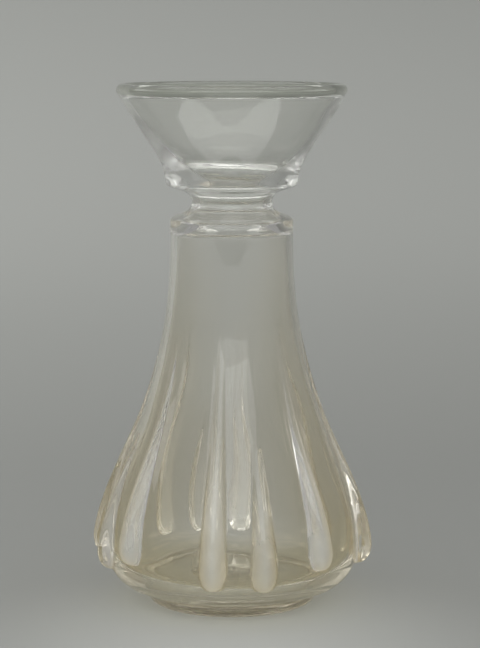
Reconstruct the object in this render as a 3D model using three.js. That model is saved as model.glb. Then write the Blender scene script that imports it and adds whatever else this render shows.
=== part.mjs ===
// A hand-blown glass flower vase, as its separately gathered bits of glass:
// a bell-shaped body with a tall neck, a pad foot under it, a flared mouth joined on at the pinched
// waist, a bead of glass round the lip, and twelve trailed ribs, eight long ones and four short ones.
// Millimetres, +Z up. The origin is the middle of the foot, on the surface that it rests on.
import * as THREE from "three";

// Foot: a pad with a round lower edge and a shallow hollow underneath, spreading up to the body's seat
const FOOT_RADIUS = 32.5;
const FOOT_HEIGHT = 6;
const FOOT_EDGE = 2.5;
const FOOT_HOLLOW_RADIUS = 17;
const FOOT_HOLLOW_DEPTH = 2;

// Body: outside radii, and the rise from each level to the next
const SEAT_RADIUS = 36;
const BELLY_RADIUS = 49;
const NECK_RADIUS = 23.7;
const WAIST_RADIUS = 15.5;
const BELLY_RISE = 16;
const FLARE_RISE = 120.5;
const NECK_LENGTH = 5;
const SHOULDER_RISE = 7.5;
const WALL = 3;
const FLOOR = 5;

// How far the body's curves run on along their end tangents, as shares of the step they cross
const UNDERSIDE_REACH = 0.6;
const UNDERSIDE_LIFT = 0.6;
const BELLY_PULL = 0.27;
const NECK_PULL = 0.55;
const DOME_PULL = 0.2;

// The groove at the waist lies between two ledges: how round their outer edges are, and how far they rise
const LEDGE_ROUND = 4;
const LEDGE_LIFT = 2;

// Mouth: outside radii and rises, and the pulls of its curves as shares of the step they cross
const THROAT_RADIUS = 25.5;
const LIP_RADIUS = 43.2;
const THROAT_RISE = 8;
const MOUTH_RISE = 33;
const THROAT_PULL = 0.29;
const FUNNEL_PULL = 0.1;
const LIP_PULL_OUT = 0.36;
const LIP_PULL_DOWN = 0.39;
const LIP_OVERHANG = 0.8;

// Ribs: trails of glass laid up the body from a round drop at the lower end. The long ones stand evenly,
// and a short one stands in the middle of every second gap.
// Lengths are measured along the body's side, and the offset of the lower ends from the edge of its seat.
// The shares are of a rib's full breadth at its two ends, and of the drop's relief along the trail.
const LONG_RIB_COUNT = 8;
const FIRST_RIB_TURN = -96;
const RIB_BREADTH = 11.5;
const RIB_OFFSET = 15;
const LONG_RIB = 96;
const SHORT_RIB = 56;
const LONG_RIB_RELIEF = 7;
const SHORT_RIB_RELIEF = 6;
const RIB_DROP_LENGTH = 9;
const RIB_BULB_LENGTH = 60;
const RIB_DROP_SHARE = 0.35;
const RIB_TRAIL_SHARE = 0.3;
const RIB_TOP_SHARE = 0.4;
const RIB_EDGE = 0.5;
const RIB_SEAM = 0.3;

// How many facets the curves are cut into, one number for each stretch of an outline
const TURN_FACETS = 48;
const FOOT_FACETS = [3, 1, 3, 2, 1];
const BODY_FACETS = [5, 9, 1, 5];
const HOLLOW_FACETS = [5, 9, 5];
const MOUTH_FACETS = [5, 6];
const FUNNEL_FACETS = [8];
const LIP_FACETS = 8;
const RIB_ROWS = 10;
const RIB_FACETS = 6;

// Levels up the axis
const seatLevel = FOOT_HEIGHT;
const bellyLevel = seatLevel + BELLY_RISE;
const neckLevel = bellyLevel + FLARE_RISE;
const shoulderLevel = neckLevel + NECK_LENGTH;
const waistLevel = shoulderLevel + SHOULDER_RISE;
const throatLevel = waistLevel + THROAT_RISE;
const lipLevel = throatLevel + MOUTH_RISE;

const boreRadius = WAIST_RADIUS - WALL;

function glass(color, opacity) {
  return new THREE.MeshStandardMaterial({
    color,
    opacity,
    roughness: 0.06,
    metalness: 0,
    transparent: true,
  });
}

const paleGlass = glass(0xb9bcb0, 0.45);
const strawGlass = glass(0xbdb89a, 0.55);
const amberGlass = glass(0x8a7f5c, 0.7);

function named(name, geometry, material) {
  const mesh = new THREE.Mesh(geometry, material);
  mesh.name = name;
  return mesh;
}

// The points of an outline, with the given number of facets on each of its stretches.
function faceted(outline, facets) {
  const points = outline.curves.flatMap((curve, i) => curve.getPoints(facets[i]).slice(1));
  return [outline.getPoint(0), ...points];
}

// Turns an outline of (radius, height) points about the Z axis.
function turned(points) {
  return new THREE.LatheGeometry(points, TURN_FACETS).rotateX(Math.PI / 2);
}

// The body's side from the edge of its seat up to its neck, drawn in by `inset`, its lower end at `level`.
function bodySide(inset, level) {
  const seat = SEAT_RADIUS - inset;
  const belly = BELLY_RADIUS - inset;
  const neck = NECK_RADIUS - inset;
  const reach = UNDERSIDE_REACH * (belly - seat);
  const lift = UNDERSIDE_LIFT * (bellyLevel - level);
  const side = new THREE.Path();
  side.moveTo(seat, level);
  side.bezierCurveTo(seat + reach, level, belly, bellyLevel - lift, belly, bellyLevel);
  side.bezierCurveTo(
    belly, bellyLevel + BELLY_PULL * FLARE_RISE,
    neck, neckLevel - NECK_PULL * FLARE_RISE,
    neck, neckLevel,
  );
  return side;
}

// The body's outside, which steps in to the waist over a ledge.
function bodyOutside() {
  const side = bodySide(0, seatLevel);
  side.lineTo(NECK_RADIUS, shoulderLevel);
  side.bezierCurveTo(
    NECK_RADIUS, shoulderLevel + LEDGE_ROUND,
    WAIST_RADIUS, shoulderLevel + LEDGE_LIFT,
    WAIST_RADIUS, waistLevel,
  );
  return side;
}

// The body's hollow, which closes in to the waist in one smooth dome, so the glass behind the ledge is thick.
function bodyHollow() {
  const side = bodySide(WALL, seatLevel + FLOOR);
  const pull = DOME_PULL * (waistLevel - neckLevel);
  side.bezierCurveTo(
    NECK_RADIUS - WALL, neckLevel + pull,
    boreRadius, waistLevel - pull,
    boreRadius, waistLevel,
  );
  return side;
}

// The mouth's outside, which steps out from the waist over a ledge and then flares up to the lip.
function mouthOutside() {
  const side = new THREE.Path();
  side.moveTo(WAIST_RADIUS, waistLevel);
  side.bezierCurveTo(
    WAIST_RADIUS, throatLevel - LEDGE_LIFT,
    THROAT_RADIUS, throatLevel - LEDGE_ROUND,
    THROAT_RADIUS, throatLevel,
  );
  side.bezierCurveTo(
    THROAT_RADIUS, throatLevel + THROAT_PULL * MOUTH_RISE,
    LIP_RADIUS - LIP_PULL_OUT * (LIP_RADIUS - THROAT_RADIUS), lipLevel - LIP_PULL_DOWN * MOUTH_RISE,
    LIP_RADIUS, lipLevel,
  );
  return side;
}

// The mouth's inside, one smooth funnel from the waist up to the lip.
function mouthInside() {
  const lip = LIP_RADIUS - WALL;
  const side = new THREE.Path();
  side.moveTo(boreRadius, waistLevel);
  side.bezierCurveTo(
    boreRadius, waistLevel + FUNNEL_PULL * (lipLevel - waistLevel),
    lip - LIP_PULL_OUT * (LIP_RADIUS - THROAT_RADIUS), lipLevel - LIP_PULL_DOWN * MOUTH_RISE,
    lip, lipLevel,
  );
  return side;
}

function footGeometry() {
  const outline = new THREE.Path();
  outline.moveTo(0, FOOT_HOLLOW_DEPTH);
  outline.quadraticCurveTo(FOOT_HOLLOW_RADIUS / 2, FOOT_HOLLOW_DEPTH, FOOT_HOLLOW_RADIUS, 0);
  outline.lineTo(FOOT_RADIUS - FOOT_EDGE, 0);
  outline.quadraticCurveTo(FOOT_RADIUS, 0, FOOT_RADIUS, FOOT_EDGE);
  outline.quadraticCurveTo(FOOT_RADIUS, FOOT_HEIGHT, SEAT_RADIUS, FOOT_HEIGHT);
  outline.lineTo(0, FOOT_HEIGHT);
  return turned(faceted(outline, FOOT_FACETS));
}

// The vessel: its outside from the axis up to the waist, then its hollow down to the axis again.
function bodyGeometry() {
  const outside = faceted(bodyOutside(), BODY_FACETS);
  const hollow = faceted(bodyHollow(), HOLLOW_FACETS).reverse();
  const bottom = new THREE.Vector2(0, seatLevel);
  const floor = new THREE.Vector2(0, seatLevel + FLOOR);
  return turned([bottom, ...outside, ...hollow, floor]);
}

function mouthGeometry() {
  const outside = faceted(mouthOutside(), MOUTH_FACETS);
  const inside = faceted(mouthInside(), FUNNEL_FACETS).reverse();
  return turned([...outside, ...inside, outside[0]]);
}

// A round bead that stands on the flat end of the mouth's wall and overhangs it on both sides.
function lipGeometry() {
  const bead = WALL / 2 + LIP_OVERHANG;
  const rise = Math.sqrt(bead ** 2 - (WALL / 2) ** 2);
  const dip = Math.atan2(rise, WALL / 2);
  const centre = LIP_RADIUS - WALL / 2;
  const section = new THREE.EllipseCurve(centre, lipLevel + rise, bead, bead, -dip, Math.PI + dip);
  const points = section.getPoints(LIP_FACETS);
  return turned([...points, points[0]]);
}

// Joins rings of equal size, each a front row and the back row behind it, into one closed solid.
function lofted(fronts, backs) {
  const rings = fronts.map((front, i) => [...front, ...backs[i].toReversed()]);
  const size = rings[0].length;
  const last = (rings.length - 1) * size;
  const faces = [];
  const quad = (a, b, c, d) => faces.push(a, b, c, a, c, d);
  for (let row = 0; row < last; row += size) {
    for (let j = 0; j < size; j++) {
      const next = (j + 1) % size;
      quad(row + j, row + next, row + size + next, row + size + j);
    }
  }
  for (let j = 0; j + 1 < size / 2; j++) {
    quad(j, size - 1 - j, size - 2 - j, j + 1);
    quad(last + j, last + j + 1, last + size - 2 - j, last + size - 1 - j);
  }
  const geometry = new THREE.BufferGeometry().setFromPoints(rings.flat());
  geometry.setIndex(faces);
  geometry.computeVertexNormals();
  return geometry;
}

// A trailed rib that follows the body's side: a round drop at its lower end, then a trail that thins out.
function ribGeometry(turn, length, relief) {
  const side = bodySide(0, seatLevel);
  const sideLength = side.getLength();
  const halfArc = RIB_BREADTH / 2 / BELLY_RADIUS;
  const crown = relief - RIB_SEAM - RIB_EDGE;
  const fronts = [];
  const backs = [];
  for (let i = 0; i <= RIB_ROWS; i++) {
    const along = (i / RIB_ROWS) ** 2;
    const drop = Math.min(1, (along * length) / RIB_DROP_LENGTH);
    const roundEnd = Math.sqrt(drop * (2 - drop));
    const dropBreadth = RIB_DROP_SHARE + (1 - RIB_DROP_SHARE) * roundEnd;
    const breadth = dropBreadth * (1 - (1 - RIB_TOP_SHARE) * along);
    const bulb = Math.max(0, 1 - (along * length) / RIB_BULB_LENGTH);
    const trail = RIB_TRAIL_SHARE + (1 - RIB_TRAIL_SHARE) * bulb;
    const swell = crown * roundEnd * trail * (1 - along ** 1.5);
    const share = (RIB_OFFSET + along * length) / sideLength;
    const wall = side.getPoint(share);
    const slope = side.getTangent(share);
    const front = [];
    const back = [];
    for (let j = 0; j <= RIB_FACETS; j++) {
      const across = (2 * j) / RIB_FACETS - 1;
      const angle = turn + across * breadth * halfArc;
      const standing = (offset) => {
        const radius = wall.x + slope.y * offset;
        const height = wall.y - slope.x * offset;
        return new THREE.Vector3(radius * Math.cos(angle), radius * Math.sin(angle), height);
      };
      back.push(standing(RIB_SEAM));
      front.push(standing(RIB_SEAM + RIB_EDGE + swell * (1 - across ** 2)));
    }
    fronts.push(front);
    backs.push(back);
  }
  return lofted(fronts, backs);
}

// Three ribs at a time: a long one, the short one in the gap after it, and the next long one.
function ribs() {
  const group = new THREE.Group();
  const places = [0, 0.5, 1];
  const gap = 360 / LONG_RIB_COUNT;
  for (let i = 0; i < 1.5 * LONG_RIB_COUNT; i++) {
    const long = i % 3 !== 1;
    const gapsPassed = 2 * Math.floor(i / 3) + places[i % 3];
    const turn = THREE.MathUtils.degToRad(FIRST_RIB_TURN + gapsPassed * gap);
    const name = `rib_${String(i + 1).padStart(2, "0")}_${long ? "long" : "short"}`;
    const length = long ? LONG_RIB : SHORT_RIB;
    const relief = long ? LONG_RIB_RELIEF : SHORT_RIB_RELIEF;
    group.add(named(name, ribGeometry(turn, length, relief), strawGlass));
  }
  return group;
}

const vase = new THREE.Group();
vase.add(named("foot", footGeometry(), amberGlass));
vase.add(named("body", bodyGeometry(), paleGlass));
vase.add(named("mouth", mouthGeometry(), paleGlass));
vase.add(named("lip_bead", lipGeometry(), paleGlass));
vase.add(ribs());

export default vase;
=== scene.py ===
"""A hand-blown, straw-tinted glass vase with trailed ribs, on a plain grey studio sweep."""
import random
from bisect import bisect_left
from math import atan2, cos, pi, radians, sin, sqrt, tau

import bpy
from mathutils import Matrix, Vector


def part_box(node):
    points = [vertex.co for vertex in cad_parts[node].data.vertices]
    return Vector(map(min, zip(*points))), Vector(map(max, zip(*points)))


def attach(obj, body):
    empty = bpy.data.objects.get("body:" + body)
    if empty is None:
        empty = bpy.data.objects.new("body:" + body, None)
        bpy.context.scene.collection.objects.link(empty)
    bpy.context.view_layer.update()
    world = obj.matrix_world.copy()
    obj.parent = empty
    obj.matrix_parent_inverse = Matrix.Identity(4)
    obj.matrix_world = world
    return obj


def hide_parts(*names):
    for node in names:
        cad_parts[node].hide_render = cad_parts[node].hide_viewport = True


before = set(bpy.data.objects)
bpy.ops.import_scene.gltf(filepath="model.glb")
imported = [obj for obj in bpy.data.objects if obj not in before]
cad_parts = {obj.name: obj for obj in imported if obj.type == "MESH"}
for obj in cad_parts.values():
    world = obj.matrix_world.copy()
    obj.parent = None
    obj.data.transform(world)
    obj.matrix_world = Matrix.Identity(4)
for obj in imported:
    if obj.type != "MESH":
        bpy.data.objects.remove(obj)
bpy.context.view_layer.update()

MM = 0.001

# Levels and outside radii that the solids give
SEAT_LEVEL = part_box("foot")[1][2]
SEAT_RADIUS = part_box("foot")[1][0]
BELLY_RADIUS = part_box("body")[1][0]
WAIST_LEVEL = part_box("body")[1][2]
LIP_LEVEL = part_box("mouth")[1][2]
LIP_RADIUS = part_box("mouth")[1][0]

# Foot
FOOT_RADIUS = 32.5 * MM
FOOT_EDGE = 2.5 * MM
FOOT_HOLLOW_RADIUS = 17 * MM
FOOT_HOLLOW_DEPTH = 2 * MM

# Body
BELLY_RISE = 16 * MM
NECK_RADIUS = 23.7 * MM
WAIST_RADIUS = 15.5 * MM
SHOULDER_RISE = 7.5 * MM
NECK_LENGTH = 5 * MM
LEDGE_ROUND = 4 * MM
LEDGE_LIFT = 2 * MM
WALL = 3 * MM
FLOOR = 5 * MM
UNDERSIDE_REACH = 0.6
UNDERSIDE_LIFT = 0.6
BELLY_PULL = 0.27
NECK_PULL = 0.55
DOME_PULL = 0.2

# Mouth
THROAT_RADIUS = 25.5 * MM
THROAT_RISE = 8 * MM
THROAT_PULL = 0.29
FUNNEL_PULL = 0.1
LIP_PULL_OUT = 0.36
LIP_PULL_DOWN = 0.39
LIP_OVERHANG = 0.8 * MM

# Ribs: lengths are measured along the body's side from the edge of its seat, and places round it in steps.
# Every quarter turn has three ribs. The four ribs in front stand a few steps beside their even places, and
# two of them start higher up by a share of their length, as they were laid by hand. The other ribs' starts,
# and how full every rib is and how far it sways, vary by chance.
TURN_STEPS = 320
TURN_STEP = tau / TURN_STEPS
QUARTER_STEPS = TURN_STEPS // 4
RIB_NAMES = sorted(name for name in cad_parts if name.startswith("rib_"))
FIRST_RIB_TURN = radians(-96)
RIB_PLACES = (0, 20, 40)
RIB_STRAYS = {"rib_01_long": -2, "rib_02_short": -2, "rib_03_long": 3, "rib_12_long": 1}
RIB_LATE_STARTS = {"rib_03_long": 0.06, "rib_12_long": 0.07}
RIB_LATEST_START = 0.03
RIB_LEAST_FULL = 0.9
RIB_MOST_SWAY = 0.12
RIB_HALF_STEPS = 6
RIB_OFFSET = 15 * MM
LONG_RIB = 96 * MM
SHORT_RIB = 56 * MM
LONG_RIB_RELIEF = 7 * MM
SHORT_RIB_RELIEF = 6 * MM
RIB_DROP_LENGTH = 9 * MM
RIB_BULB_LENGTH = 60 * MM
RIB_TRAIL_SHARE = 0.3
RIB_DROP_SHARE = 0.35
RIB_TOP_SHARE = 0.4
RIB_SOFTNESS = 1.1
RIB_TAPER = 1.5

# Unevenness of the blown walls: how far apart their swells lie, and how fast they fade towards a joint
UNEVEN_SCALE = 30 * MM
UNEVEN_FADE = 8 * MM
BODY_UNEVEN = 0.7 * MM
MOUTH_UNEVEN = 0.5 * MM

# Where two bits of glass are melted together, one runs this far into the other
MELT = 0.05 * MM
RIB_THINNEST = 1.4 * MELT

# Glass: its waves and streaks from blowing, its haze, and how it tints the light that passes
GLASS_IOR = 1.5
WAVE_SCALE = 40
WAVE_STRENGTH = 0.25
WAVE_HEIGHT = 0.6 * MM
STREAK_SCALE = 160
STREAK_SQUEEZE = 0.12
STREAK_SHARE = 0.35
HAZE_LEAST = 0.012
HAZE_MOST = 0.05
PASSING_TINT = (0.98, 0.98, 0.965, 1)
EDGE_BLEND = 0.5
GLASS_BOUNCES = 32

# The milk in the ribs: how dense it is seen from outside and through the vase, the fullness from which it is
# at its densest, how fast it thins out upwards, and the levels where it ends
CORE_VEIL = 0.5
CORE_VEIL_FROM_INSIDE = 0.28
CORE_FULL = 0.45
CORE_THINNING = 1.5
LONG_CORE_TOP = 105 * MM
SHORT_CORE_TOP = 68 * MM

# Studio: the sweep's size, its grey with painted light and shade from front to back and painted shade towards
# the right, and a painted pool of light on it in front of the vase
SWEEP_WIDTH = 1.8
SWEEP_FRONT = -4.0
SWEEP_BACK = 0.75
SWEEP_HEIGHT = 0.8
SWEEP_COVE = 0.5
# The card's grey with painted light and shade, along the sweep from front to back
SWEEP_GREY_AND_PAINTED_SHADE = ((0, 0.29), (0.28, 0.3), (0.5, 0.33), (0.72, 0.38), (1, 0.36))
SWEEP_TINT = (0.98, 1, 0.95)
# Painted shade: the card is painted darker towards the right
SWEEP_PAINTED_SIDE_SHADE = -0.35
# A painted pool of light on the floor just in front of the vase, standing in for light gathered by the glass
PAINTED_LIGHT_POOL_PLACE = (0, -0.088, 0)
PAINTED_LIGHT_POOL_RADIUS = 0.14
PAINTED_LIGHT_POOL_STRENGTH = 0.165
ROOM_DARK = 0.3
ROOM_BRIGHT = 0.58
CAMERA_PLACE = (3.1 * MM, -0.83, 0.2218)
CAMERA_DIP = radians(7.82)
CAMERA_FILM = 36
CAMERA_LENS = 120.7

# Fineness of the turned surfaces, and the sharpest angles that are shaded smoothly
SIDE_SPACING = 1.5 * MM
CURVE_STEPS = 12
TURNED_SMOOTH = radians(35)
RIB_SMOOTH = radians(50)

BELLY_LEVEL = SEAT_LEVEL + BELLY_RISE
SHOULDER_LEVEL = WAIST_LEVEL - SHOULDER_RISE
NECK_LEVEL = SHOULDER_LEVEL - NECK_LENGTH
THROAT_LEVEL = WAIST_LEVEL + THROAT_RISE
MOUTH_RISE = LIP_LEVEL - THROAT_LEVEL
BORE_RADIUS = WAIST_RADIUS - WALL
FLOOR_LEVEL = SEAT_LEVEL + FLOOR


def curve(*controls, steps=CURVE_STEPS):
    """Points of a smooth curve through the first and last control, without the first."""
    points = []
    for step in range(1, steps + 1):
        hull = [Vector(control) for control in controls]
        while len(hull) > 1:
            hull = [a.lerp(b, step / steps) for a, b in zip(hull, hull[1:])]
        points.append(hull[0])
    return points


def evenly(points, spacing):
    """Points set along a line of points at equal spacing, ending with its last one."""
    placed = [points[0]]
    left = spacing
    for a, b in zip(points, points[1:]):
        length = (b - a).length
        while left <= length:
            placed.append(a.lerp(b, left / length))
            left += spacing
        left -= length
    if (placed[-1] - points[-1]).length < spacing / 4:
        placed.pop()
    return placed + [points[-1]]


def body_side(inset, level):
    """The body's side as (radius, height) from the edge of its seat up to its neck, drawn in by inset."""
    seat = SEAT_RADIUS - inset
    belly = BELLY_RADIUS - inset
    neck = NECK_RADIUS - inset
    reach = UNDERSIDE_REACH * (belly - seat)
    lift = UNDERSIDE_LIFT * (BELLY_LEVEL - level)
    rise = NECK_LEVEL - BELLY_LEVEL
    side = [Vector((seat, level))]
    side += curve(
        (seat, level),
        (seat + reach, level),
        (belly, BELLY_LEVEL - lift),
        (belly, BELLY_LEVEL),
        steps=80,
    )
    side += curve(
        (belly, BELLY_LEVEL),
        (belly, BELLY_LEVEL + BELLY_PULL * rise),
        (neck, NECK_LEVEL - NECK_PULL * rise),
        (neck, NECK_LEVEL),
        steps=160,
    )
    return evenly(side, SIDE_SPACING)


def body_outside():
    """The body's outside, which steps in to the waist over a ledge."""
    side = body_side(0, SEAT_LEVEL) + [Vector((NECK_RADIUS, SHOULDER_LEVEL))]
    return side + curve(
        (NECK_RADIUS, SHOULDER_LEVEL),
        (NECK_RADIUS, SHOULDER_LEVEL + LEDGE_ROUND),
        (WAIST_RADIUS, SHOULDER_LEVEL + LEDGE_LIFT),
        (WAIST_RADIUS, WAIST_LEVEL),
        steps=2 * CURVE_STEPS,
    )


def body_hollow():
    """The body's hollow, which closes in to the waist in one smooth dome."""
    pull = DOME_PULL * (WAIST_LEVEL - NECK_LEVEL)
    return body_side(WALL, FLOOR_LEVEL) + curve(
        (NECK_RADIUS - WALL, NECK_LEVEL),
        (NECK_RADIUS - WALL, NECK_LEVEL + pull),
        (BORE_RADIUS, WAIST_LEVEL - pull),
        (BORE_RADIUS, WAIST_LEVEL),
        steps=2 * CURVE_STEPS,
    )


def mouth_outside(low):
    """The mouth's outside from the waist, with its lower end at low, over a ledge and up to the lip."""
    out = LIP_RADIUS - LIP_PULL_OUT * (LIP_RADIUS - THROAT_RADIUS)
    side = [Vector((WAIST_RADIUS, low))]
    side += curve(
        (WAIST_RADIUS, low),
        (WAIST_RADIUS, THROAT_LEVEL - LEDGE_LIFT),
        (THROAT_RADIUS, THROAT_LEVEL - LEDGE_ROUND),
        (THROAT_RADIUS, THROAT_LEVEL),
        steps=2 * CURVE_STEPS,
    )
    side += curve(
        (THROAT_RADIUS, THROAT_LEVEL),
        (THROAT_RADIUS, THROAT_LEVEL + THROAT_PULL * MOUTH_RISE),
        (out, LIP_LEVEL - LIP_PULL_DOWN * MOUTH_RISE),
        (LIP_RADIUS, LIP_LEVEL),
        steps=2 * CURVE_STEPS,
    )
    return side


def mouth_inside(low):
    """The mouth's inside, one smooth funnel from the waist up to the lip."""
    lip = LIP_RADIUS - WALL
    out = lip - LIP_PULL_OUT * (LIP_RADIUS - THROAT_RADIUS)
    side = [Vector((BORE_RADIUS, low))]
    side += curve(
        (BORE_RADIUS, low),
        (BORE_RADIUS, WAIST_LEVEL + FUNNEL_PULL * (LIP_LEVEL - WAIST_LEVEL)),
        (out, LIP_LEVEL - LIP_PULL_DOWN * MOUTH_RISE),
        (lip, LIP_LEVEL),
        steps=3 * CURVE_STEPS,
    )
    return side


def deselect():
    """Leaves edit mode and selects nothing."""
    if bpy.context.object and bpy.context.object.mode != "OBJECT":
        bpy.ops.object.mode_set(mode="OBJECT")
    bpy.ops.object.select_all(action="DESELECT")


def pick(piece):
    """Makes piece the one selected, active object."""
    deselect()
    piece.select_set(True)
    bpy.context.view_layer.objects.active = piece


def draw_line(name, points):
    """A line of edges drawn point by point, left selected in edit mode."""
    deselect()
    bpy.ops.mesh.primitive_plane_add(size=WALL)
    line = bpy.context.object
    line.name = name
    bpy.ops.object.mode_set(mode="EDIT")
    bpy.ops.mesh.select_mode(type="VERT")
    bpy.ops.mesh.select_all(action="SELECT")
    bpy.ops.mesh.merge(type="CENTER")
    bpy.ops.transform.translate(value=points[0])
    for a, b in zip(points, points[1:]):
        bpy.ops.mesh.extrude_region_move(TRANSFORM_OT_translate={"value": b - a})
    bpy.ops.mesh.select_all(action="SELECT")
    return line


def turned(name, outline):
    """A body of revolution: an outline spun round the axis."""
    points = [Vector((r * cos(FIRST_RIB_TURN), r * sin(FIRST_RIB_TURN), z)) for r, z in outline]
    piece = draw_line(name, points)
    bpy.ops.mesh.spin(steps=TURN_STEPS, angle=tau, center=(0, 0, 0), axis=(0, 0, 1))
    bpy.ops.mesh.select_all(action="SELECT")
    bpy.ops.mesh.remove_doubles(threshold=MELT / 50)
    bpy.ops.mesh.normals_make_consistent(inside=False)
    bpy.ops.object.mode_set(mode="OBJECT")
    bpy.ops.object.shade_smooth_by_angle(angle=TURNED_SMOOTH)
    return piece


def make_uneven(piece, amount, joints):
    """Makes a blown wall a little uneven, and leaves it as it is where it joins another piece."""
    slack = piece.vertex_groups.new(name="slack")
    for vertex in piece.data.vertices:
        nearest = min(abs(vertex.co.z - level) for level in joints)
        slack.add([vertex.index], min(1, nearest / UNEVEN_FADE), "REPLACE")
    swells = bpy.data.textures.new("swells", "CLOUDS")
    swells.noise_scale = UNEVEN_SCALE
    swells.noise_depth = 0
    uneven = piece.modifiers.new("uneven", "DISPLACE")
    uneven.texture = swells
    uneven.texture_coords = "LOCAL"
    uneven.vertex_group = slack.name
    uneven.strength = amount
    pick(piece)
    bpy.ops.object.modifier_apply(modifier=uneven.name)


def set_glass(piece, glass, seam, melted):
    """Gives a piece its glass, and the seam to the faces that are melted onto another piece."""
    piece.data.materials.clear()
    piece.data.materials.append(glass)
    piece.data.materials.append(seam)
    for face in piece.data.polygons:
        face.material_index = 1 if melted(face) else 0


def level_face(level):
    """A test for faces that lie flat at a level."""
    def lies_there(face):
        return abs(face.center.z - level) < MELT * 2 and abs(face.normal.z) > 0.99
    return lies_there


# Ribs on the body's side


class Rib:
    """One trailed rib: its place round the body, its length and how far it stands out."""

    def __init__(self, index, name):
        long = name.endswith("long")
        quarter, place = divmod(index, len(RIB_PLACES))
        steps = quarter * QUARTER_STEPS + RIB_PLACES[place] + RIB_STRAYS.get(name, 0)
        self.name = name
        self.turn = FIRST_RIB_TURN + steps * TURN_STEP
        self.length = LONG_RIB if long else SHORT_RIB
        self.relief = LONG_RIB_RELIEF if long else SHORT_RIB_RELIEF
        self.core = long_core if long else short_core

    def across(self, point):
        """How far round from the rib's middle a point lies, as a share of its half breadth."""
        apart = (atan2(point.y, point.x) - self.turn + pi) % tau - pi
        return apart / (RIB_HALF_STEPS * TURN_STEP)

    def along(self, point):
        """How far up the rib a point lies, as a share of its length."""
        return (side_scale.length_at(point.z) - RIB_OFFSET) / self.length

    def covers(self, face):
        """Whether a face of the body's outside lies under the rib."""
        outward = face.normal.x * face.center.x + face.normal.y * face.center.y > 0
        above_seat = face.center.z > SEAT_LEVEL + MELT
        within = abs(self.across(face.center)) < 1 and 0 < self.along(face.center) < 1
        return outward and above_seat and within


class SideScale:
    """Turns a height on the body's outside into the distance along its side from the seat."""

    def __init__(self):
        side = body_outside()
        self.heights = [point.y for point in side]
        self.lengths = [0]
        for a, b in zip(side, side[1:]):
            self.lengths.append(self.lengths[-1] + (b - a).length)

    def length_at(self, height):
        """The distance along the side from the seat up to a height."""
        place = min(max(bisect_left(self.heights, height), 1), len(self.heights) - 1)
        low, high = self.heights[place - 1], self.heights[place]
        share = (height - low) / (high - low) if high > low else 0
        return self.lengths[place - 1] + share * (self.lengths[place] - self.lengths[place - 1])


side_scale = SideScale()


def swell(across, along, length):
    """How full a rib is, from 0 to 1: a round drop at its lower end, then a trail that thins out upwards."""
    drop = min(1, along * length / RIB_DROP_LENGTH)
    round_end = sqrt(max(0, drop * (2 - drop)))
    bulb = max(0, 1 - along * length / RIB_BULB_LENGTH)
    trail = RIB_TRAIL_SHARE + (1 - RIB_TRAIL_SHARE) * bulb
    breadth = RIB_DROP_SHARE + (1 - RIB_DROP_SHARE) * round_end
    breadth *= 1 - (1 - RIB_TOP_SHARE) * along
    fall = max(0, 1 - (across / breadth) ** 2) ** RIB_SOFTNESS
    return round_end * trail * (1 - along ** RIB_TAPER) * fall


def lift_patch(body, faces):
    """A copy of some of the body's faces, as a piece of its own."""
    pick(body)
    bpy.ops.object.mode_set(mode="EDIT")
    bpy.ops.mesh.select_mode(type="FACE")
    bpy.ops.mesh.select_all(action="DESELECT")
    bpy.ops.object.mode_set(mode="OBJECT")
    for face in faces:
        body.data.polygons[face].select = True
    bpy.ops.object.mode_set(mode="EDIT")
    bpy.ops.mesh.duplicate()
    bpy.ops.mesh.separate(type="SELECTED")
    bpy.ops.object.mode_set(mode="OBJECT")
    return next(piece for piece in bpy.context.selected_objects if piece is not body)


def make_rib(body, faces, rib, chance):
    """Lifts the stretch of the body's outside that a rib covers, and thickens it into the rib."""
    piece = lift_patch(body, faces)
    piece.name = rib.name.replace("rib_", "trail_")
    pick(piece)
    bpy.ops.object.mode_set(mode="EDIT")
    bpy.ops.mesh.select_all(action="SELECT")
    bpy.ops.mesh.subdivide(number_cuts=1)
    bpy.ops.transform.shrink_fatten(value=-MELT)
    bpy.ops.object.mode_set(mode="OBJECT")
    group = piece.vertex_groups.new(name="swell")
    fullness = piece.data.attributes.new("fullness", "FLOAT", "POINT")
    late = RIB_LATE_STARTS.get(rib.name, chance.uniform(0, RIB_LATEST_START))
    full = chance.uniform(RIB_LEAST_FULL, 1)
    sway = chance.uniform(-RIB_MOST_SWAY, RIB_MOST_SWAY)
    for vertex in piece.data.vertices:
        along = min(max((rib.along(vertex.co) - late) / (1 - late), 0), 1)
        across = rib.across(vertex.co) - sway * sin(pi * along)
        share = full * swell(across, along, rib.length)
        group.add([vertex.index], share, "REPLACE")
        fullness.data[vertex.index].value = share
    thicken = piece.modifiers.new("thicken", "SOLIDIFY")
    thicken.thickness = rib.relief
    thicken.offset = 1
    thicken.vertex_group = group.name
    thicken.thickness_vertex_group = RIB_THINNEST / rib.relief
    thicken.material_offset = 1
    thicken.material_offset_rim = 1
    piece.data.materials.clear()
    piece.data.materials.append(rib_glass)
    piece.data.materials.append(rib.core)
    bpy.ops.object.modifier_apply(modifier=thicken.name)
    bpy.ops.object.shade_smooth_by_angle(angle=RIB_SMOOTH)
    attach(piece, "root")
    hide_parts(rib.name)


# Materials


def worked_out(nodes, links, operation, *values):
    """The result of a sum on values that are plain numbers or come out of other nodes."""
    sum_node = nodes.new("ShaderNodeMath")
    sum_node.operation = operation
    for socket, value in zip(sum_node.inputs, values):
        if isinstance(value, bpy.types.NodeSocket):
            links.new(value, socket)
        else:
            socket.default_value = value
    return sum_node.outputs["Value"]


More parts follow.
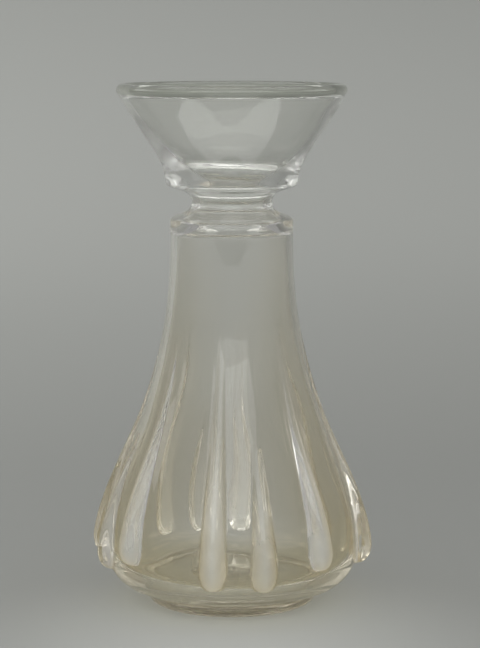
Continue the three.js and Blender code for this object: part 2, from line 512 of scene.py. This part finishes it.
def blown_surface_group():
    """What all the glass shares: slow waves from blowing, faint streaks along the pull, a little haze."""
    group = bpy.data.node_groups.new("blown_surface", "ShaderNodeTree")
    face = group.interface
    for name in ("Wave Scale", "Streak Scale", "Clear Level"):
        face.new_socket(name=name, in_out="INPUT", socket_type="NodeSocketFloat")
    for name in ("Height", "Depth", "Haze"):
        face.new_socket(name=name, in_out="OUTPUT", socket_type="NodeSocketFloat")
    nodes, links = group.nodes, group.links
    into = nodes.new("NodeGroupInput")
    out = nodes.new("NodeGroupOutput")
    place = nodes.new("ShaderNodeTexCoord")
    waves = nodes.new("ShaderNodeTexNoise")
    waves.inputs["Detail"].default_value = 1
    links.new(place.outputs["Object"], waves.inputs["Vector"])
    links.new(into.outputs["Wave Scale"], waves.inputs["Scale"])
    links.new(waves.outputs["Fac"], out.inputs["Height"])
    stretch = nodes.new("ShaderNodeMapping")
    stretch.inputs["Scale"].default_value = (1, 1, STREAK_SQUEEZE)
    links.new(place.outputs["Object"], stretch.inputs["Vector"])
    streaks = nodes.new("ShaderNodeTexNoise")
    streaks.inputs["Detail"].default_value = 4
    streaks.inputs["Distortion"].default_value = 0.6
    links.new(stretch.outputs["Vector"], streaks.inputs["Vector"])
    links.new(into.outputs["Streak Scale"], streaks.inputs["Scale"])
    axes = nodes.new("ShaderNodeSeparateXYZ")
    links.new(place.outputs["Object"], axes.inputs["Vector"])
    depth = nodes.new("ShaderNodeMapRange")
    depth.inputs["From Max"].default_value = 0
    links.new(into.outputs["Clear Level"], depth.inputs["From Min"])
    links.new(axes.outputs["Z"], depth.inputs["Value"])
    streak = streaks.outputs["Fac"]
    streaked = worked_out(nodes, links, "MULTIPLY_ADD", streak, STREAK_SHARE, depth.outputs["Result"])
    streaked.node.use_clamp = True
    links.new(streaked, out.inputs["Depth"])
    haze = nodes.new("ShaderNodeMapRange")
    haze.inputs["From Min"].default_value = 0.35
    haze.inputs["From Max"].default_value = 0.8
    haze.inputs["To Min"].default_value = HAZE_LEAST
    haze.inputs["To Max"].default_value = HAZE_MOST
    links.new(streak, haze.inputs["Value"])
    links.new(haze.outputs["Result"], out.inputs["Haze"])
    return group


def new_material(name):
    """A material without nodes, with its nodes and links."""
    material = bpy.data.materials.new(name)
    material.use_nodes = True
    material.node_tree.nodes.clear()
    return material, material.node_tree.nodes, material.node_tree.links


def blown_glass(name, clear, deep, edge, milk, clear_level=NECK_LEVEL, edge_power=0.6):
    """Blown glass: clear at its clear level, deeper in colour below, tinted at its edges, a little milky."""
    material, nodes, links = new_material(name)
    out = nodes.new("ShaderNodeOutputMaterial")
    surface = nodes.new("ShaderNodeBsdfPrincipled")
    surface.inputs["Transmission Weight"].default_value = 1 - milk
    surface.inputs["IOR"].default_value = GLASS_IOR
    grain = nodes.new("ShaderNodeGroup")
    grain.node_tree = blown_surface
    grain.inputs["Wave Scale"].default_value = WAVE_SCALE
    grain.inputs["Streak Scale"].default_value = STREAK_SCALE
    grain.inputs["Clear Level"].default_value = clear_level
    tint = nodes.new("ShaderNodeMix")
    tint.data_type = "RGBA"
    tint.inputs["A"].default_value = (*clear, 1)
    tint.inputs["B"].default_value = (*deep, 1)
    links.new(grain.outputs["Depth"], tint.inputs["Factor"])
    facing = nodes.new("ShaderNodeLayerWeight")
    facing.inputs["Blend"].default_value = EDGE_BLEND
    border = worked_out(nodes, links, "POWER", facing.outputs["Facing"], edge_power)
    shaded = worked_out(nodes, links, "MULTIPLY", border, grain.outputs["Depth"])
    warm = nodes.new("ShaderNodeMix")
    warm.data_type = "RGBA"
    links.new(tint.outputs["Result"], warm.inputs["A"])
    warm.inputs["B"].default_value = (*edge, 1)
    links.new(shaded, warm.inputs["Factor"])
    links.new(warm.outputs["Result"], surface.inputs["Base Color"])
    links.new(grain.outputs["Haze"], surface.inputs["Roughness"])
    bump = nodes.new("ShaderNodeBump")
    bump.inputs["Strength"].default_value = WAVE_STRENGTH
    bump.inputs["Distance"].default_value = WAVE_HEIGHT
    links.new(grain.outputs["Height"], bump.inputs["Height"])
    links.new(bump.outputs["Normal"], surface.inputs["Normal"])
    passing = nodes.new("ShaderNodeBsdfTransparent")
    passing.inputs["Color"].default_value = PASSING_TINT
    ray = nodes.new("ShaderNodeLightPath")
    mix = nodes.new("ShaderNodeMixShader")
    links.new(ray.outputs["Is Shadow Ray"], mix.inputs["Fac"])
    links.new(surface.outputs["BSDF"], mix.inputs[1])
    links.new(passing.outputs["BSDF"], mix.inputs[2])
    links.new(mix.outputs["Shader"], out.inputs["Surface"])
    return material


def melted_seam():
    """The inside of a joint where two bits of glass have run together: nothing shows there."""
    material, nodes, links = new_material("melted_seam")
    out = nodes.new("ShaderNodeOutputMaterial")
    through = nodes.new("ShaderNodeBsdfTransparent")
    links.new(through.outputs["BSDF"], out.inputs["Surface"])
    return material


def trail_core(name, top):
    """The faintly milky heart of a rib, as full as the rib itself, which thins out up to its top level."""
    material, nodes, links = new_material(name)
    out = nodes.new("ShaderNodeOutputMaterial")
    surface = nodes.new("ShaderNodeBsdfPrincipled")
    surface.inputs["Roughness"].default_value = 1
    surface.inputs["Specular IOR Level"].default_value = 0
    grain = nodes.new("ShaderNodeGroup")
    grain.node_tree = blown_surface
    grain.inputs["Streak Scale"].default_value = STREAK_SCALE
    grain.inputs["Clear Level"].default_value = top
    tint = nodes.new("ShaderNodeMix")
    tint.data_type = "RGBA"
    tint.inputs["A"].default_value = (0.94, 0.945, 0.92, 1)
    tint.inputs["B"].default_value = (0.96, 0.97, 0.95, 1)
    links.new(grain.outputs["Depth"], tint.inputs["Factor"])
    links.new(tint.outputs["Result"], surface.inputs["Base Color"])
    side = nodes.new("ShaderNodeNewGeometry")
    strength = nodes.new("ShaderNodeMapRange")
    strength.inputs["To Min"].default_value = CORE_VEIL_FROM_INSIDE
    strength.inputs["To Max"].default_value = CORE_VEIL
    links.new(side.outputs["Backfacing"], strength.inputs["Value"])
    fullness = nodes.new("ShaderNodeAttribute")
    fullness.attribute_name = "fullness"
    filled = nodes.new("ShaderNodeMapRange")
    filled.interpolation_type = "SMOOTHSTEP"
    filled.inputs["From Max"].default_value = CORE_FULL
    links.new(fullness.outputs["Fac"], filled.inputs["Value"])
    facing = nodes.new("ShaderNodeLayerWeight")
    facing.inputs["Blend"].default_value = EDGE_BLEND
    thinned = worked_out(nodes, links, "POWER", grain.outputs["Depth"], CORE_THINNING)
    veil = worked_out(nodes, links, "MULTIPLY", thinned, strength.outputs["Result"])
    turned_to_eye = worked_out(nodes, links, "SUBTRACT", 1, facing.outputs["Facing"])
    seen = worked_out(nodes, links, "MULTIPLY", veil, turned_to_eye)
    shaped = worked_out(nodes, links, "MULTIPLY", seen, filled.outputs["Result"])
    links.new(shaped, surface.inputs["Alpha"])
    links.new(surface.outputs["BSDF"], out.inputs["Surface"])
    return material


blown_surface = blown_surface_group()
seam = melted_seam()
long_core = trail_core("long_trail_core", LONG_CORE_TOP)
short_core = trail_core("short_trail_core", SHORT_CORE_TOP)
body_glass = blown_glass(
    "blown_wall",
    clear=(0.92, 0.92, 0.902),
    deep=(0.955, 0.95, 0.91),
    edge=(0.86, 0.775, 0.54),
    milk=0.02,
)
mouth_glass = blown_glass(
    "funnel_wall",
    clear=(0.915, 0.92, 0.895),
    deep=(1, 1, 0.985),
    edge=(0.5, 0.51, 0.47),
    milk=0.025,
    clear_level=LIP_LEVEL,
    edge_power=1.2,
)
lip_glass = blown_glass(
    "lip_thread",
    clear=(0.72, 0.74, 0.68),
    deep=(0.7, 0.71, 0.64),
    edge=(0.66, 0.66, 0.6),
    milk=0.02,
)
rib_glass = blown_glass(
    "trailed_glass",
    clear=(0.95, 0.95, 0.92),
    deep=(0.955, 0.955, 0.925),
    edge=(0.8, 0.65, 0.37),
    milk=0.04,
)
foot_glass = blown_glass(
    "pad_glass",
    clear=(0.47, 0.43, 0.33),
    deep=(0.45, 0.4, 0.3),
    edge=(0.4, 0.34, 0.24),
    milk=0.02,
)


# Pieces


def make_body():
    """The blown bubble, and the ribs trailed on it."""
    hollow = reversed(body_hollow())
    body = turned("bubble", [Vector((0, SEAT_LEVEL)), *body_outside(), *hollow, Vector((0, FLOOR_LEVEL))])
    make_uneven(body, BODY_UNEVEN, (SEAT_LEVEL, WAIST_LEVEL))
    covered = set()
    chance = random.Random(7)
    for index, name in enumerate(RIB_NAMES):
        rib = Rib(index, name)
        faces = [face.index for face in body.data.polygons if rib.covers(face)]
        covered.update(faces)
        make_rib(body, faces, rib, chance)
    at_seat = level_face(SEAT_LEVEL)
    at_waist = level_face(WAIST_LEVEL)
    set_glass(body, body_glass, seam, lambda face: at_seat(face) or at_waist(face) or face.index in covered)
    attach(body, "root")
    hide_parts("body")


def make_mouth():
    """The funnel, melted on at the waist."""
    low = WAIST_LEVEL - MELT
    outside = mouth_outside(low)
    mouth = turned("funnel", [*outside, *reversed(mouth_inside(low)), outside[0]])
    make_uneven(mouth, MOUTH_UNEVEN, (low, LIP_LEVEL))
    at_waist = level_face(low)
    at_lip = level_face(LIP_LEVEL)
    set_glass(mouth, mouth_glass, seam, lambda face: at_waist(face) or at_lip(face))
    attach(mouth, "root")
    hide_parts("mouth")


def make_lip():
    """The round thread of glass on the lip."""
    low = LIP_LEVEL - MELT
    bead = WALL / 2 + LIP_OVERHANG
    rise = sqrt(bead ** 2 - (WALL / 2) ** 2)
    dip = atan2(rise, WALL / 2)
    middle = LIP_RADIUS - WALL / 2
    steps = 2 * CURVE_STEPS
    outline = []
    for step in range(steps + 1):
        angle = -dip + (pi + 2 * dip) * step / steps
        outline.append(Vector((middle + bead * cos(angle), LIP_LEVEL + rise + bead * sin(angle))))
    outline[0].y = low
    outline[-1].y = low
    lip = turned("rim_thread", [*outline, outline[0]])
    set_glass(lip, lip_glass, seam, level_face(low))
    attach(lip, "root")
    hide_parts("lip_bead")


def make_foot():
    """The pad under the body, with a shallow hollow in its underside."""
    top = SEAT_LEVEL + MELT
    outline = [Vector((0, FOOT_HOLLOW_DEPTH))]
    outline += curve(
        (0, FOOT_HOLLOW_DEPTH),
        (FOOT_HOLLOW_RADIUS / 2, FOOT_HOLLOW_DEPTH),
        (FOOT_HOLLOW_RADIUS, 0),
    )
    outline += [Vector((FOOT_RADIUS - FOOT_EDGE, 0))]
    outline += curve((FOOT_RADIUS - FOOT_EDGE, 0), (FOOT_RADIUS, 0), (FOOT_RADIUS, FOOT_EDGE))
    outline += curve((FOOT_RADIUS, FOOT_EDGE), (FOOT_RADIUS, top), (SEAT_RADIUS, top))
    outline += [Vector((0, top))]
    foot = turned("pad_foot", outline)
    set_glass(foot, foot_glass, seam, level_face(top))
    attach(foot, "root")
    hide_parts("foot")


make_body()
make_mouth()
make_lip()
make_foot()


# Studio


def sweep_material():
    """Grey card with painted light and shade: painted lighter and darker from front to back, painted darker
    towards the right, with a painted pool of light in front of the vase; open from behind so that the vase
    shows from every side.
    """
    material, nodes, links = new_material("grey_sweep")
    out = nodes.new("ShaderNodeOutputMaterial")
    surface = nodes.new("ShaderNodeBsdfPrincipled")
    place = nodes.new("ShaderNodeTexCoord")
    axes = nodes.new("ShaderNodeSeparateXYZ")
    links.new(place.outputs["Object"], axes.inputs["Vector"])
    # Painted light and shade along the sweep, from front to back
    run = worked_out(nodes, links, "ADD", axes.outputs["Y"], axes.outputs["Z"])
    shade = nodes.new("ShaderNodeFloatCurve")
    line = shade.mapping.curves[0]
    first, *between, last = SWEEP_GREY_AND_PAINTED_SHADE
    line.points[0].location = first
    line.points[1].location = last
    for point in between:
        line.points.new(*point)
    shade.mapping.update()
    links.new(run, shade.inputs["Value"])
    # Painted shade, darker towards the right
    fall = worked_out(nodes, links, "MULTIPLY_ADD", axes.outputs["X"], SWEEP_PAINTED_SIDE_SHADE, 1)
    # Painted pool of light on the floor in front of the vase
    apart = nodes.new("ShaderNodeVectorMath")
    apart.operation = "DISTANCE"
    apart.inputs[1].default_value = PAINTED_LIGHT_POOL_PLACE
    links.new(place.outputs["Object"], apart.inputs[0])
    painted_pool = nodes.new("ShaderNodeMapRange")
    painted_pool.interpolation_type = "SMOOTHSTEP"
    painted_pool.inputs["From Max"].default_value = PAINTED_LIGHT_POOL_RADIUS
    painted_pool.inputs["To Min"].default_value = PAINTED_LIGHT_POOL_STRENGTH
    painted_pool.inputs["To Max"].default_value = 0
    links.new(apart.outputs["Value"], painted_pool.inputs["Value"])
    lit = worked_out(nodes, links, "ADD", shade.outputs["Value"], painted_pool.outputs["Result"])
    tone = worked_out(nodes, links, "MULTIPLY", lit, fall)
    grey = nodes.new("ShaderNodeVectorMath")
    grey.operation = "SCALE"
    grey.inputs[0].default_value = SWEEP_TINT
    links.new(tone, grey.inputs["Scale"])
    links.new(grey.outputs["Vector"], surface.inputs["Base Color"])
    surface.inputs["Roughness"].default_value = 0.8
    surface.inputs["Specular IOR Level"].default_value = 0.2
    side = nodes.new("ShaderNodeNewGeometry")
    open_back = nodes.new("ShaderNodeBsdfTransparent")
    mix = nodes.new("ShaderNodeMixShader")
    links.new(side.outputs["Backfacing"], mix.inputs["Fac"])
    links.new(surface.outputs["BSDF"], mix.inputs[1])
    links.new(open_back.outputs["BSDF"], mix.inputs[2])
    links.new(mix.outputs["Shader"], out.inputs["Surface"])
    return material


def make_sweep():
    """Floor and backdrop in one sheet with a wide cove between them."""
    flat_end = SWEEP_BACK - SWEEP_COVE
    run = [Vector((SWEEP_FRONT, 0)), Vector((flat_end, 0))]
    run += curve((flat_end, 0), (SWEEP_BACK, 0), (SWEEP_BACK, SWEEP_COVE), steps=2 * CURVE_STEPS)
    run += [Vector((SWEEP_BACK, SWEEP_HEIGHT))]
    sweep = draw_line("sweep", [Vector((-SWEEP_WIDTH / 2, y, z)) for y, z in run])
    bpy.ops.mesh.extrude_region_move(TRANSFORM_OT_translate={"value": (SWEEP_WIDTH, 0, 0)})
    bpy.ops.mesh.select_all(action="SELECT")
    bpy.ops.mesh.normals_make_consistent(inside=True)
    bpy.ops.object.mode_set(mode="OBJECT")
    bpy.ops.object.shade_smooth()
    sweep.data.materials.append(sweep_material())


def softbox(name, place, width, height, watts):
    """A soft lamp aimed at the middle of the vase."""
    aim = Vector((0, 0, WAIST_LEVEL / 2)) - Vector(place)
    turn = aim.to_track_quat("-Z", "Y").to_euler()
    bpy.ops.object.light_add(type="AREA", location=place, rotation=turn)
    lamp = bpy.context.object
    lamp.name = name
    lamp.data.shape = "RECTANGLE"
    lamp.data.size = width
    lamp.data.size_y = height
    lamp.data.energy = watts


def make_room():
    """The room that the glass mirrors: pale in front of the vase, darker behind it."""
    world = bpy.data.worlds.new("studio")
    world.use_nodes = True
    nodes, links = world.node_tree.nodes, world.node_tree.links
    place = nodes.new("ShaderNodeTexCoord")
    axes = nodes.new("ShaderNodeSeparateXYZ")
    links.new(place.outputs["Generated"], axes.inputs["Vector"])
    front = nodes.new("ShaderNodeMapRange")
    front.interpolation_type = "SMOOTHSTEP"
    front.inputs["From Min"].default_value = 0.1
    front.inputs["From Max"].default_value = -0.75
    front.inputs["To Min"].default_value = ROOM_DARK
    front.inputs["To Max"].default_value = ROOM_BRIGHT
    links.new(axes.outputs["Y"], front.inputs["Value"])
    background = nodes["Background"]
    background.inputs["Color"].default_value = (1, 1, 1, 1)
    links.new(front.outputs["Result"], background.inputs["Strength"])
    bpy.context.scene.world = world


def make_lights():
    """A large soft panel overhead, one in front, and a small one at each side."""
    softbox("front_softbox", place=(0, -1.3, 0.85), width=1.5, height=0.85, watts=5)
    softbox("left_softbox", place=(-0.85, 0.12, 0.45), width=0.5, height=0.3, watts=0.75)
    softbox("right_softbox", place=(0.85, 0.05, 0.45), width=0.5, height=0.3, watts=0.65)
    softbox("overhead_softbox", place=(0, 0.1, 1.7), width=2.6, height=1.5, watts=15.5)


def make_camera():
    """The camera stands a little above the lip and looks slightly down."""
    bpy.ops.object.camera_add(location=CAMERA_PLACE, rotation=(radians(90) - CAMERA_DIP, 0, 0))
    camera = bpy.context.object
    camera.data.sensor_fit = "VERTICAL"
    camera.data.sensor_height = CAMERA_FILM
    camera.data.lens = CAMERA_LENS
    bpy.context.scene.camera = camera


def let_light_through():
    """Lets light bounce on as often as it takes to leave the thick glass."""
    cycles = bpy.context.scene.cycles
    cycles.transparent_max_bounces = GLASS_BOUNCES
    cycles.transmission_bounces = GLASS_BOUNCES
    cycles.glossy_bounces = GLASS_BOUNCES
    cycles.max_bounces = GLASS_BOUNCES


let_light_through()
make_sweep()
make_room()
make_lights()
make_camera()
bpy.context.scene.view_settings.view_transform = "Standard"
